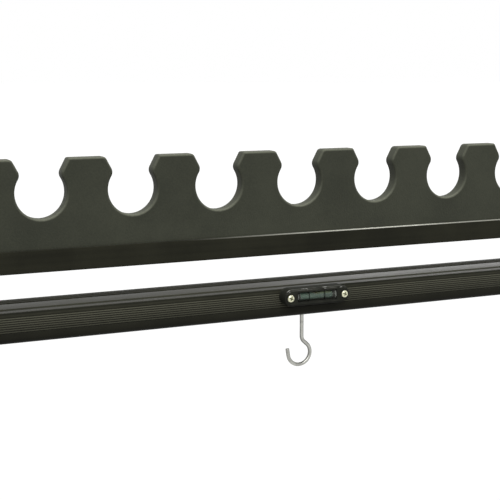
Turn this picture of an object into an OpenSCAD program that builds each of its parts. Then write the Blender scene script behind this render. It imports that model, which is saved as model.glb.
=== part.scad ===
/* [Comb] */
// Number of notches along the comb
notch_count = 11; // [3:1:14]
// Distance between neighbouring notches
notch_pitch = 61.5; // [54:0.5:75]
// Radius of the round seat of a notch
notch_r = 17; // [13:0.5:20]
// Width of a notch's mouth at the comb's top edge
mouth_w = 37; // [35:0.5:44]
// Slope of the mouth's sides, from the vertical
mouth_angle = 28; // [20:1:34]
// Radius of the nose between a seat and its mouth
nose_r = 5.3; // [3:0.1:6.5]
// Height from a seat's centre to the comb's top edge
notch_rise = 21.9; // [19:0.1:25]
// Foam left between a seat and the rail's top edge
web_h = 19.3; // [12:0.1:30]
// Thickness of the foam
comb_t = 10; // [8:0.5:14]
// Distance from the last seat's centre to the foam's end
comb_end = 42; // [34:1:60]

/* [Rail] */
// Height of the U rail
rail_h = 14.9; // [12:0.1:22]
// Thickness of the rail's side walls
rail_wall = 2; // [1.5:0.1:3]
// Thickness of the rail's floor
rail_floor = 2; // [1.5:0.1:3]
// Rounding of the rail's long edges
rail_edge_r = 0.7; // [0.3:0.1:0.7]
// Open height between the rail and the beam
rail_gap = 21.4; // [14:0.1:40]

/* [Beam] */
// Depth of the beam, front to back
beam_d = 44.5; // [36:0.5:50]
// Height of the beam
beam_h = 20.2; // [18:0.1:28]
// Wall of the hollow beam
beam_wall = 2; // [1.6:0.1:2.6]
// Rounding of the beam's upper long edges
beam_edge_r = 1.2; // [1:0.1:2.4]
// Rounding of the beam's lower long edges
beam_foot_r = 3.5; // [1:0.1:4]
// Height of the crown along the middle of the top
crown_h = 0.5; // [0.2:0.1:0.8]
// Width of the lips along the top's front and back
lip_w = 6.7; // [5:0.1:9]
// Width of the grooves beside the lips
groove_w = 6; // [3:0.1:7]
// Depth of the grooves on top
groove_d = 0.9; // [0.5:0.1:1.2]
// Number of fine grooves on each long face
rib_count = 8; // [4:1:9]
// Distance between neighbouring fine grooves
rib_pitch = 1.44; // [1.2:0.02:1.6]
// Radius of a fine groove
rib_r = 0.5; // [0.3:0.05:0.55]
// Depth of a fine groove
rib_d = 0.35; // [0.2:0.05:0.5]
// Height from the beam's top to the first fine groove
rib_top = 3; // [2.9:0.1:5]

/* [Level] */
// Distance of the level's middle from the comb's middle
level_x = 0.5; // [-60:0.1:60]
// Length of the level's housing
level_len = 50; // [47:0.5:70]
// Height of the level's housing
level_h = 12; // [10.5:0.1:14]
// Distance that the housing stands out of the beam
level_d = 10; // [9:0.1:16]
// Height of the housing's middle below the beam's top
level_drop = 5; // [4.8:0.1:9]
// Chamfer round the housing's front
level_chamfer = 0.9; // [0.5:0.1:1.6]
// Outer radius of the vial
vial_r = 3.4; // [2.5:0.1:3.8]
// Wall of the vial
vial_wall = 0.7; // [0.5:0.1:0.9]
// Length of the vial
vial_len = 30; // [28:0.5:36]
// Distance between the two ring marks
mark_gap = 12; // [10:0.1:16]
// Length of the bubble
bubble_len = 8.5; // [5:0.1:9]
// Distance between the level's two screws
level_screw_gap = 41.8; // [41:0.1:44]

/* [Hook] */
// Distance of the hook from the comb's middle
hook_x = 4.4; // [-60:0.1:60]
// Radius of the hook's wire
wire_r = 1.4; // [0.8:0.1:1.4]
// Radius of the hook's threaded end
thread_r = 1.5; // [1.45:0.05:2]
// Length of the straight shank below the beam
shank_len = 20.5; // [12:0.1:40]
// Radius of the bend below the shank
neck_bend_r = 5.6; // [4:0.1:10]
// Straight wire between that bend and the next
neck_len = 3; // [1:0.1:10]
// Radius where the loop begins
shoulder_r = 8; // [5:0.1:12]
// Radius of the loop
loop_r = 8.8; // [6:0.1:14]
// Straight end of the loop
tip_len = 5; // [1:0.1:8]

/* [End brackets] */
// Thickness of the plate that closes the beam's end
plate_t = 6; // [4:0.5:10]
// Thickness of the web under the beam
web_t = 5; // [4:0.5:7]
// Thickness of the cheeks that hold the pivot bolt
cheek_t = 5; // [4:0.5:6]
// Height of the leg pivot below the beam
pivot_drop = 22; // [21.5:0.5:34]
// Length of the bracket's tenon inside the beam
tenon_len = 44; // [42:1:60]
// Length of the bracket's tongue inside the rail
tongue_len = 12; // [10:0.5:20]
// Radius of the pivot bolt
bolt_r = 4; // [3:0.5:5]

/* [Legs] */
// Slope of each leg, from the vertical
leg_angle = 20; // [18:1:26]
// Distance along the leg from the pivot to the foot's pin
leg_reach = 262; // [250:1:300]
// Outer radius of the outer tube
outer_r = 9; // [8.7:0.1:9.4]
// Wall of the outer tube
outer_wall = 1.2; // [0.8:0.1:1.4]
// Length of the outer tube
outer_len = 154; // [120:1:160]
// Length of the inner tube
inner_len = 152; // [130:1:160]
// Wall of the inner tube
inner_wall = 1; // [0.7:0.1:1.5]
// Radius of the leg head's sockets
socket_r = 12; // [11.5:0.1:12.5]
// Depth of the tubes in their sockets
socket_depth = 32; // [24:1:40]
// Length of a clamp collar
collar_len = 28; // [22:1:36]
// Wall of a clamp collar round the tube
collar_wall = 3.3; // [2.5:0.1:4]
// Radius of a knob's grip
knob_r = 9; // [8:0.5:11]
// Thickness of a knob's grip
knob_t = 9; // [7:0.5:12]

/* [Feet] */
// Radius of a foot's disc
foot_r = 22; // [18:1:32]
// Thickness of a foot's disc
foot_t = 4.5; // [3:0.5:5]
// Height of the foot's pin above the floor
pin_h = 14; // [13:0.5:18]
// Radius of the foot's pin
pin_r = 2; // [1.5:0.1:2.5]

/* [Fits] */
// Clearance round a shaft, a screw or a tube that turns or slides
fit = 0.1; // [0.05:0.01:0.1]
// Gap between faces that pass each other
gap = 0.3; // [0.2:0.05:0.4]

/* [Hidden] */
$fn = 64;

// Heights, from the floor up
pivot_z = pin_h + leg_reach * cos(leg_angle);
beam_z = pivot_z + pivot_drop;
beam_top = beam_z + beam_h;
rail_z = beam_top + rail_gap;
rail_top = rail_z + rail_h;
notch_z = rail_top + web_h + notch_r;
comb_top = notch_z + notch_rise;

// Lengths along the bars
comb_len = (notch_count - 1) * notch_pitch + 2 * comb_end;
beam_len = comb_len + 2 * tongue_len;
beam_end = beam_len / 2;
rail_d = comb_t + 2 * rail_wall;

// The nose circle touches the seat's circle and the mouth's side
side_dir = [sin(mouth_angle), cos(mouth_angle)];
side_out = [cos(mouth_angle), -sin(mouth_angle)];
nose_start = [mouth_w / 2, notch_rise] + nose_r * side_out;
nose_dot = nose_start * side_dir;
nose_run = -nose_dot + sqrt(pow(nose_dot, 2) - nose_start * nose_start + pow(notch_r + nose_r, 2));
nose_c = nose_start + nose_run * side_dir;
cut_over = 2;

// How far a bore or a cut runs past the faces that it opens, and a shank into its head
over = 1;

// Beam
cavity_r = 1.5;
band_w = beam_d - 2 * (lip_w + groove_w);
crown_r = (pow(band_w / 2, 2) + pow(crown_h, 2)) / (2 * crown_h);
groove_r = (pow(groove_w / 2, 2) + pow(groove_d, 2)) / (2 * groove_d);
cavity_d = beam_d - 2 * (beam_wall + rib_d);
cavity_z = beam_z + beam_wall;
cavity_h = beam_h - 2 * beam_wall - groove_d;
rib_first_z = beam_top - rib_top;

// Level
level_z = beam_top - level_drop;
level_back = -beam_d / 2;
level_front = level_back - level_d;
vial_set_back = 0.7;
vial_y = level_front + vial_r + vial_set_back;
plug_len = 2.5;
mark_w = 0.6;
mark_d = 0.05;
bubble_lift = 0.8;
bubble_film = 0.1;
level_screw_r = 1.25;
pan_head_r = 2.5;
pan_head_h = 1.8;

// Hook
bush_wall = 1;
bush_lip = 1.2;
bush_flange_r = thread_r + fit + bush_wall + bush_lip;
bush_flange_t = 1;
thread_below = 3;
thread_above = 1;
nut_r = 2 * thread_r;
nut_h = 1.6 * thread_r;
neck_turn = 48;
loop_turn = 173;
wire_step = 0.01;
wire_lap = 1.5;
tip_lap = 0.3;
shank_low = beam_z - shank_len;
neck_x = neck_bend_r * (1 - cos(neck_turn));
neck_z = shank_low - neck_bend_r * sin(neck_turn);
shoulder_x = neck_x + neck_len * sin(neck_turn);
shoulder_z = neck_z - neck_len * cos(neck_turn);
shoulder_cx = shoulder_x - shoulder_r * sin(90 - neck_turn);
shoulder_cz = shoulder_z - shoulder_r * cos(90 - neck_turn);
loop_cx = shoulder_cx + shoulder_r - loop_r;
loop_cz = shoulder_cz;
tip_x = loop_cx - loop_r * cos(180 - loop_turn);
tip_z = loop_cz - loop_r * sin(180 - loop_turn);

// Brackets
lug_r = 12;
pivot_x = beam_end - lug_r - gap;
cheek_out = beam_d / 2;
cheek_in = cheek_out - cheek_t;
cheek_r = lug_r + 1;
stop_drop = 24;
web_len = 46;
tenon_fit = 0.15;
// How much a press fit leaves round its shaft
tight = 0.02;
// Tops of the blind bores, and the room past a screw's end
screw_cover = 1;
screw_end_gap = 2;
bracket_bore_top = cavity_z + cavity_h - tenon_fit - screw_cover;
rail_bore_top = rail_top - 3 * screw_cover;
bracket_shoulder = beam_top + 2;
bracket_screw_r = 2.5;
bracket_screw_x = beam_end - 36;
bracket_screw_y = 9;
bracket_head_r = 4.2;
bracket_head_h = 2.6;
rail_screw_r = 2;
rail_screw_x = beam_end - tongue_len / 2;
rail_head_r = 3.4;
rail_head_h = 2;
upper_w = rail_d + 3;
bolt_head_r = 7;
bolt_head_h = 5;
bolt_thread = 8;

// Legs, as distances from the pivot
socket_top = 20;
head_drop = 24;
head_web = 16;
web_reach = 48;
tube_top = 34;
socket_end = tube_top + socket_depth;
outer_end = tube_top + outer_len;
collar_grip = 16;
collar_top = outer_end - collar_grip;
collar_end = collar_top + collar_len;
collar_r = outer_r + collar_wall;
inner_r = outer_r - outer_wall - gap;
plug_flange = 2;
plug_drop = 10;
inner_end = leg_reach - plug_drop;
inner_top = inner_end - inner_len;
plug_depth = 16;
clamp_up = 6;
clamp_s = collar_end - clamp_up;
clamp_screw_r = 2.5;
boss_r = 6.5;
boss_reach = collar_r + 4;
knob_lobe_r = 3;
knob_lobes = 6;
fold_scale = 1.4;

// Feet
tongue_t = 8;
tongue_r = 6.5;
ear_t = 4;
ear_r = 7;
ear_in = tongue_t / 2 + gap;
ear_out = ear_in + ear_t;
pin_head_r = pin_r + 1.2;
pin_head_t = 1;
foot_rim = 1.5;
foot_y = leg_reach * sin(leg_angle);

foam_color = [0.24, 0.25, 0.22];
black_metal = [0.12, 0.12, 0.13];
black_plastic = [0.07, 0.07, 0.08];
grey_plastic = [0.17, 0.17, 0.18];
bright_steel = [0.72, 0.72, 0.70];

// A box given by its low and high corners
module block(low, high) {
  translate(low) cube(high - low);
}

// A cylinder along X, from x0 to x1
module along_x(x0, x1, r, at = [0, 0]) {
  translate([x0, at[0], at[1]]) rotate([0, 90, 0]) cylinder(h = x1 - x0, r = r);
}

// A cylinder along Y, from y0 to y1
module along_y(y0, y1, r, at = [0, 0]) {
  translate([at[0], y0, at[1]]) rotate([-90, 0, 0]) cylinder(h = y1 - y0, r = r);
}

// An outline drawn in depth and height, drawn out along X
module bar(x0, x1) {
  translate([x0, 0, 0]) rotate([90, 0, 90]) linear_extrude(height = x1 - x0) children();
}

// A rectangle with one radius at its upper corners and one at its lower corners
module round_rect(low, high, r_top, r_low) {
  for (x = [low[0] + r_top, high[0] - r_top]) translate([x, high[1] - r_top]) circle(r = r_top);
  for (x = [low[0] + r_low, high[0] - r_low]) translate([x, low[1] + r_low]) circle(r = r_low);
  polygon([[low[0] + r_low, low[1]], [high[0] - r_low, low[1]], [high[0], low[1] + r_low],
    [high[0], high[1] - r_top], [high[0] - r_top, high[1]], [low[0] + r_top, high[1]],
    [low[0], high[1] - r_top], [low[0], low[1] + r_low]]);
}

// Mirrors what is drawn for the right end or the back leg
module at_end(side, depth = 1) {
  mirror([side < 0 ? 1 : 0, 0, 0]) mirror([0, depth < 0 ? 1 : 0, 0]) children();
}

// Comb
module notch_cut() {
  seat_touch = nose_c * notch_r / (notch_r + nose_r);
  side_touch = nose_c - nose_r * side_out;
  mouth = [mouth_w / 2 + cut_over * tan(mouth_angle), notch_rise + cut_over];
  difference() {
    union() {
      circle(r = notch_r);
      polygon([mouth, side_touch, seat_touch, [0, 0],
        [-seat_touch[0], seat_touch[1]], [-side_touch[0], side_touch[1]], [-mouth[0], mouth[1]]]);
    }
    for (s = [-1, 1]) translate([s * nose_c[0], nose_c[1]]) circle(r = nose_r);
  }
}

module foam_comb() {
  first_x = -(notch_count - 1) * notch_pitch / 2;
  color(foam_color) translate([0, comb_t / 2, 0]) rotate([90, 0, 0]) linear_extrude(height = comb_t)
    difference() {
      translate([-comb_len / 2, rail_z + rail_floor]) square([comb_len, comb_top - rail_z - rail_floor]);
      for (i = [0 : notch_count - 1]) translate([first_x + i * notch_pitch, notch_z]) notch_cut();
    }
}

// Rail
module comb_rail() {
  color(black_metal) difference() {
    bar(-beam_end, beam_end) {
      for (s = [0, 1]) mirror([s, 0])
        round_rect([comb_t / 2, rail_z], [rail_d / 2, rail_top], rail_edge_r, rail_edge_r);
      translate([rail_edge_r - rail_d / 2, rail_z]) square([rail_d - 2 * rail_edge_r, rail_floor]);
    }
    for (s = [-1, 1]) translate([s * rail_screw_x, 0, rail_z - over])
      cylinder(h = rail_floor + 2 * over, r = rail_screw_r + fit);
  }
}

// Beam
module beam_outline() {
  difference() {
    round_rect([-beam_d / 2, beam_z], [beam_d / 2, beam_top], beam_edge_r, beam_foot_r);
    for (s = [-1, 1]) translate([s * (band_w + groove_w) / 2, beam_top + groove_r - groove_d])
      circle(r = groove_r);
    difference() {
      translate([-band_w / 2, beam_top - crown_h]) square([band_w, 2 * crown_h]);
      translate([0, beam_top - crown_r]) circle(r = crown_r, $fn = 360);
    }
    for (s = [-1, 1], i = [0 : rib_count - 1])
      translate([s * (beam_d / 2 + rib_r - rib_d), rib_first_z - i * rib_pitch]) circle(r = rib_r);
  }
}

module cavity_outline(shrink = 0) {
  round_rect([-cavity_d / 2 + shrink, cavity_z + shrink],
    [cavity_d / 2 - shrink, cavity_z + cavity_h - shrink], cavity_r, cavity_r);
}

module main_beam() {
  color(black_metal) difference() {
    bar(-beam_end, beam_end) difference() {
      beam_outline();
      cavity_outline();
    }
    for (s = [-1, 1]) translate([level_x + s * level_screw_gap / 2, 0, level_z])
      along_y(level_back - over, level_back + beam_wall + rib_d + over, level_screw_r + fit);
    translate([hook_x, 0, beam_z - over]) cylinder(h = beam_wall + 2 * over, r = thread_r + fit + bush_wall);
    for (s = [-1, 1], t = [-1, 1]) translate([s * bracket_screw_x, t * bracket_screw_y, beam_z - over])
      cylinder(h = beam_wall + 2 * over, r = bracket_screw_r + fit);
  }
}

// End brackets
module cheek_outline() {
  translate([pivot_x, pivot_z]) circle(r = cheek_r);
  polygon([[pivot_x - cheek_r, beam_z - web_t / 2], [pivot_x - cheek_r, pivot_z],
    [pivot_x, pivot_z - cheek_r], [beam_end + plate_t / 2, pivot_z - cheek_r],
    [beam_end + plate_t / 2, beam_z - web_t / 2]]);
}

module end_bracket() {
  difference() {
    union() {
      bar(beam_end, beam_end + plate_t) polygon([
        [-cheek_out, pivot_z - stop_drop], [cheek_out, pivot_z - stop_drop],
        [cheek_out, bracket_shoulder], [upper_w / 2, rail_z], [upper_w / 2, rail_top],
        [-upper_w / 2, rail_top], [-upper_w / 2, rail_z], [-cheek_out, bracket_shoulder]]);
      bar(beam_end - tenon_len, beam_end) cavity_outline(tenon_fit);
      block([beam_end - tongue_len + gap, -comb_t / 2 + fit, rail_z + rail_floor],
        [beam_end, comb_t / 2 - fit, rail_top]);
      block([beam_end - web_len, -cheek_out, beam_z - web_t], [beam_end, cheek_out, beam_z]);
      for (s = [0, 1]) mirror([0, s, 0]) translate([0, cheek_out, 0]) rotate([90, 0, 0])
        linear_extrude(height = cheek_t) cheek_outline();
    }
    along_y(-cheek_out - over, cheek_out + over, bolt_r + fit, [pivot_x, pivot_z]);
    translate([rail_screw_x, 0, rail_z]) cylinder(h = rail_bore_top - rail_z, r = rail_screw_r + fit);
    for (t = [-1, 1]) translate([bracket_screw_x, t * bracket_screw_y, beam_z - web_t - over])
      cylinder(h = bracket_bore_top - beam_z + web_t + over, r = bracket_screw_r + fit);
  }
}

module end_bracket_left() { color(black_plastic) at_end(-1) end_bracket(); }
module end_bracket_right() { color(black_plastic) at_end(1) end_bracket(); }

module bracket_screws() {
  top = bracket_bore_top - screw_end_gap;
  color(bright_steel) for (s = [-1, 1], t = [-1, 1])
    translate([s * bracket_screw_x, t * bracket_screw_y, beam_z - web_t]) {
      translate([0, 0, -bracket_head_h]) cylinder(h = bracket_head_h, r = bracket_head_r);
      translate([0, 0, -over]) cylinder(h = top - beam_z + web_t + over, r = bracket_screw_r);
    }
}

module rail_screws() {
  color(bright_steel) for (s = [-1, 1]) translate([s * rail_screw_x, 0, rail_z]) {
    translate([0, 0, -rail_head_h]) cylinder(h = rail_head_h, r = rail_head_r);
    translate([0, 0, -over]) cylinder(h = rail_bore_top - rail_z - screw_end_gap + over, r = rail_screw_r);
  }
}

// Each bolt has its head at the back and its thread at the front
module pivot_bolts() {
  color(bright_steel) for (s = [-1, 1]) translate([s * pivot_x, 0, pivot_z]) {
    along_y(-cheek_out - bolt_thread, cheek_out + over, bolt_r);
    translate([0, cheek_out, 0]) rotate([-90, 0, 0]) cylinder(h = bolt_head_h, r = bolt_head_r, $fn = 6);
  }
}

// Level
// A bar with round ends, along X, standing out of the beam
module level_body() {
  half = level_len / 2 - level_h / 2;
  cut = level_chamfer;
  low = level_h / 2;
  for (s = [-1, 1]) translate([s * half, 0, 0]) {
    along_y(level_front + cut, level_back, low);
    translate([0, level_front, 0]) rotate([-90, 0, 0]) cylinder(h = cut, r1 = low - cut, r2 = low);
  }
  bar(-half, half) polygon([[level_back, -low], [level_back, low], [level_front + cut, low],
    [level_front, low - cut], [level_front, cut - low], [level_front + cut, -low]]);
}

module level_housing() {
  seat = vial_len / 2 + fit;
  color(black_plastic) translate([level_x, 0, level_z]) difference() {
    level_body();
    along_x(-seat, seat, vial_r + fit, [vial_y, 0]);
    block([-seat, level_front - over, -vial_r - fit], [seat, vial_y, vial_r + fit]);
    for (s = [-1, 1]) translate([s * level_screw_gap / 2, 0, 0])
      along_y(level_front - over, level_back + over, level_screw_r + fit);
  }
}

module level_vial() {
  color([0.75, 0.88, 0.82]) translate([level_x, 0, level_z]) difference() {
    along_x(-vial_len / 2, vial_len / 2, vial_r, [vial_y, 0]);
    along_x(-vial_len / 2 - over, vial_len / 2 + over, vial_r - vial_wall, [vial_y, 0]);
    for (s = [-1, 1]) translate([s * mark_gap / 2, 0, 0]) difference() {
      along_x(-mark_w / 2, mark_w / 2, vial_r + over, [vial_y, 0]);
      along_x(-mark_w, mark_w, vial_r - mark_d, [vial_y, 0]);
    }
  }
}

module level_end_plugs() {
  color(black_plastic) translate([level_x, 0, level_z]) for (s = [0, 1]) mirror([s, 0, 0])
    along_x(vial_len / 2 - plug_len, vial_len / 2, vial_r - vial_wall, [vial_y, 0]);
}

module bubble_shape() {
  ball_r = vial_r - vial_wall - bubble_lift - bubble_film;
  half = bubble_len / 2 - ball_r;
  translate([level_x, vial_y, level_z + bubble_lift]) {
    along_x(-half, half, ball_r);
    for (s = [-1, 1]) translate([s * half, 0, 0]) sphere(r = ball_r);
  }
}

module level_liquid() {
  end = vial_len / 2 - plug_len;
  color([0.16, 0.45, 0.36]) difference() {
    translate([level_x, 0, level_z]) along_x(-end, end, vial_r - vial_wall, [vial_y, 0]);
    bubble_shape();
  }
}

module level_bubble() { color([0.70, 0.85, 0.45]) bubble_shape(); }

module level_screws() {
  color(bright_steel) for (s = [-1, 1]) translate([level_x + s * level_screw_gap / 2, 0, level_z]) {
    along_y(level_front - pan_head_h, level_front, pan_head_r);
    along_y(level_front - over, level_back + beam_wall + rib_d, level_screw_r);
  }
}

// Hook
module hook_bush() {
  color(black_plastic) translate([hook_x, 0, beam_z]) difference() {
    union() {
      translate([0, 0, -bush_flange_t]) cylinder(h = bush_flange_t, r = bush_flange_r);
      translate([0, 0, -bush_flange_t]) cylinder(h = bush_flange_t + beam_wall, r = thread_r + bush_wall);
    }
    translate([0, 0, -bush_flange_t - over])
      cylinder(h = bush_flange_t + beam_wall + 2 * over, r = thread_r + fit);
  }
}

// A bend of wire in the X-Z plane: centre, radius, and the angles it runs between. With a lap it is a
// little thinner and runs into its neighbours at both ends.
module wire_bend(cx, cz, r, a0, a1, lap = 0) {
  translate([cx, 0, cz]) rotate([90, 0, 0]) rotate([0, 0, a0 - lap])
    rotate_extrude(angle = a1 - a0 + 2 * lap) translate([r, 0])
      circle(r = lap > 0 ? wire_r - wire_step : wire_r, $fn = 32);
}

module wire_hook() {
  color(bright_steel) translate([hook_x, 0, 0]) {
    translate([0, 0, shank_low]) cylinder(h = beam_z - shank_low, r = wire_r);
    translate([0, 0, beam_z - thread_below])
      cylinder(h = thread_below + beam_wall + gap + nut_h + thread_above, r = thread_r);
    wire_bend(neck_bend_r, shank_low, neck_bend_r, 180, 180 + neck_turn, wire_lap);
    translate([neck_x, 0, neck_z]) rotate([0, 180 - neck_turn, 0]) cylinder(h = neck_len, r = wire_r);
    wire_bend(shoulder_cx, shoulder_cz, shoulder_r, 0, neck_turn, wire_lap);
    wire_bend(loop_cx, loop_cz, loop_r, -loop_turn, 0);
    translate([tip_x, 0, tip_z]) rotate([0, -(180 - loop_turn), 0]) translate([0, 0, -tip_lap])
      cylinder(h = tip_len + tip_lap, r = wire_r - wire_step);
  }
}

module hook_nut() {
  color(bright_steel) translate([hook_x, 0, beam_z + beam_wall + gap]) difference() {
    cylinder(h = nut_h, r = nut_r, $fn = 6);
    translate([0, 0, -over]) cylinder(h = nut_h + 2 * over, r = thread_r + tight);
  }
}

// A point's frame on the front leg: Z runs up the leg, and s is the distance down from the pivot
module on_leg(s, side, depth) {
  mirror([0, depth > 0 ? 1 : 0, 0]) mirror([side < 0 ? 1 : 0, 0, 0])
    translate([pivot_x, -s * sin(leg_angle), pivot_z - s * cos(leg_angle)])
      rotate([-leg_angle, 0, 0]) children();
}

// Leg heads
module leg_head(side) {
  color(grey_plastic) difference() {
    union() {
      at_end(side) along_y(-cheek_in + gap, cheek_in - gap, lug_r, [pivot_x, pivot_z]);
      at_end(side) block([pivot_x - lug_r, -cheek_in + gap, pivot_z - head_drop],
        [pivot_x + lug_r, cheek_in - gap, pivot_z]);
      for (d = [-1, 1]) on_leg(socket_end, side, d) cylinder(h = socket_end - socket_top, r = socket_r);
      at_end(side) bar(pivot_x - head_web / 2, pivot_x + head_web / 2) polygon([[0, pivot_z - socket_top],
        [web_reach * sin(leg_angle), pivot_z - web_reach * cos(leg_angle)],
        [-web_reach * sin(leg_angle), pivot_z - web_reach * cos(leg_angle)]]);
    }
    at_end(side) along_y(-cheek_in - over, cheek_in + over, bolt_r + fit, [pivot_x, pivot_z]);
    for (d = [-1, 1]) on_leg(socket_end + over, side, d)
      cylinder(h = socket_depth + over, r = outer_r + fit / 2);
  }
}

module leg_head_left() { leg_head(-1); }
module leg_head_right() { leg_head(1); }

// A star grip standing on z = 0 with its back to +Z, with a blind bore where one is given
module star_grip(bore_r = 0, bore_depth = 0) {
  difference() {
    union() {
      cylinder(h = knob_t, r = knob_r - knob_lobe_r);
      for (i = [0 : knob_lobes - 1]) rotate([0, 0, i * 360 / knob_lobes])
        translate([knob_r - knob_lobe_r, 0, 0]) cylinder(h = knob_t, r = knob_lobe_r);
    }
    if (bore_r > 0) translate([0, 0, -over]) cylinder(h = bore_depth + over, r = bore_r);
  }
}

module fold_knob(side) {
  color(grey_plastic) translate([side * pivot_x, -cheek_out - gap, pivot_z]) rotate([90, 0, 0])
    scale([fold_scale, fold_scale, fold_scale])
      star_grip((bolt_r + fit / 2) / fold_scale, (bolt_thread + gap) / fold_scale);
}

module fold_knob_left() { fold_knob(-1); }
module fold_knob_right() { fold_knob(1); }

// Tubes
module outer_tube(side, depth) {
  color(black_metal) on_leg(outer_end, side, depth) difference() {
    cylinder(h = outer_len, r = outer_r);
    translate([0, 0, -over]) cylinder(h = outer_len + 2 * over, r = outer_r - outer_wall);
  }
}

module inner_tube(side, depth) {
  color(bright_steel) on_leg(inner_end, side, depth) difference() {
    cylinder(h = inner_len, r = inner_r);
    translate([0, 0, -over]) cylinder(h = inner_len + 2 * over, r = inner_r - inner_wall);
  }
}

module outer_tube_front_left() { outer_tube(-1, -1); }
module outer_tube_back_left() { outer_tube(-1, 1); }
module outer_tube_front_right() { outer_tube(1, -1); }
module outer_tube_back_right() { outer_tube(1, 1); }
module inner_tube_front_left() { inner_tube(-1, -1); }
module inner_tube_back_left() { inner_tube(-1, 1); }
module inner_tube_front_right() { inner_tube(1, -1); }
module inner_tube_back_right() { inner_tube(1, 1); }

// Clamp collars: the upper part holds the outer tube, the lower part guides the inner one
module clamp_collar(side, depth) {
  color(grey_plastic) on_leg(collar_end, side, depth) difference() {
    union() {
      cylinder(h = collar_len, r = collar_r);
      along_x(0, boss_reach, boss_r, [0, collar_end - clamp_s]);
    }
    translate([0, 0, -over]) cylinder(h = collar_len + 2 * over, r = inner_r + fit);
    translate([0, 0, collar_end - outer_end - gap]) cylinder(h = collar_len, r = outer_r + fit / 2);
    along_x(0, boss_reach + over, clamp_screw_r + fit, [0, collar_end - clamp_s]);
  }
}

module clamp_collar_front_left() { clamp_collar(-1, -1); }
module clamp_collar_back_left() { clamp_collar(-1, 1); }
module clamp_collar_front_right() { clamp_collar(1, -1); }
module clamp_collar_back_right() { clamp_collar(1, 1); }

module clamp_knob(side, depth) {
  color(black_plastic) on_leg(clamp_s, side, depth) {
    along_x(inner_r + gap, boss_reach + gap + over, clamp_screw_r);
    translate([boss_reach + gap, 0, 0]) rotate([0, 90, 0]) star_grip();
  }
}

module clamp_knob_front_left() { clamp_knob(-1, -1); }
module clamp_knob_back_left() { clamp_knob(-1, 1); }
module clamp_knob_front_right() { clamp_knob(1, -1); }
module clamp_knob_back_right() { clamp_knob(1, 1); }

// Hinge plugs close the inner tubes and carry the feet
module hinge_plug(side, depth) {
  color(grey_plastic) on_leg(leg_reach, side, depth) difference() {
    union() {
      translate([0, 0, plug_drop - plug_flange]) cylinder(h = plug_flange, r = inner_r);
      translate([0, 0, plug_drop - plug_flange])
        cylinder(h = plug_flange + plug_depth, r = inner_r - inner_wall - tight);
      along_x(-tongue_t / 2, tongue_t / 2, tongue_r);
      block([-tongue_t / 2, -tongue_r, 0], [tongue_t / 2, tongue_r, plug_drop - over]);
    }
    along_x(-tongue_t, tongue_t, pin_r + fit);
  }
}

module hinge_plug_front_left() { hinge_plug(-1, -1); }
module hinge_plug_back_left() { hinge_plug(-1, 1); }
module hinge_plug_front_right() { hinge_plug(1, -1); }
module hinge_plug_back_right() { hinge_plug(1, 1); }

// Feet
module foot(side, depth) {
  color(black_plastic) translate([side * pivot_x, depth * foot_y, 0]) difference() {
    union() {
      cylinder(h = foot_t - foot_rim, r = foot_r);
      translate([0, 0, foot_t - foot_rim]) cylinder(h = foot_rim, r1 = foot_r, r2 = foot_r - foot_rim);
      for (s = [0, 1]) mirror([s, 0, 0]) {
        along_x(ear_in, ear_out, ear_r, [0, pin_h]);
        block([ear_in, -ear_r, foot_t - over], [ear_out, ear_r, pin_h]);
      }
    }
    along_x(-ear_out - over, ear_out + over, pin_r + fit / 2, [0, pin_h]);
  }
}

module foot_front_left() { foot(-1, -1); }
module foot_back_left() { foot(-1, 1); }
module foot_front_right() { foot(1, -1); }
module foot_back_right() { foot(1, 1); }

module foot_pin(side, depth) {
  color(bright_steel) translate([side * pivot_x, depth * foot_y, pin_h]) {
    along_x(-ear_out - pin_head_t, ear_out + pin_head_t, pin_r);
    for (s = [0, 1]) mirror([s, 0, 0]) along_x(ear_out, ear_out + pin_head_t, pin_head_r);
  }
}

module foot_pin_front_left() { foot_pin(-1, -1); }
module foot_pin_back_left() { foot_pin(-1, 1); }
module foot_pin_front_right() { foot_pin(1, -1); }
module foot_pin_back_right() { foot_pin(1, 1); }

foam_comb();
comb_rail();
main_beam();
end_bracket_left();
end_bracket_right();
bracket_screws();
rail_screws();
pivot_bolts();
level_housing();
level_vial();
level_liquid();
level_bubble();
level_end_plugs();
level_screws();
hook_bush();
wire_hook();
hook_nut();
leg_head_left();
leg_head_right();
fold_knob_left();
fold_knob_right();
outer_tube_front_left();
outer_tube_back_left();
outer_tube_front_right();
outer_tube_back_right();
clamp_collar_front_left();
clamp_collar_back_left();
clamp_collar_front_right();
clamp_collar_back_right();
clamp_knob_front_left();
clamp_knob_back_left();
clamp_knob_front_right();
clamp_knob_back_right();
inner_tube_front_left();
inner_tube_back_left();
inner_tube_front_right();
inner_tube_back_right();
hinge_plug_front_left();
hinge_plug_back_left();
hinge_plug_front_right();
hinge_plug_back_right();
foot_front_left();
foot_back_left();
foot_front_right();
foot_back_right();
foot_pin_front_left();
foot_pin_back_left();
foot_pin_front_right();
foot_pin_back_right();
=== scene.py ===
import bpy
import numpy as np
from mathutils import Matrix, Vector


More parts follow.
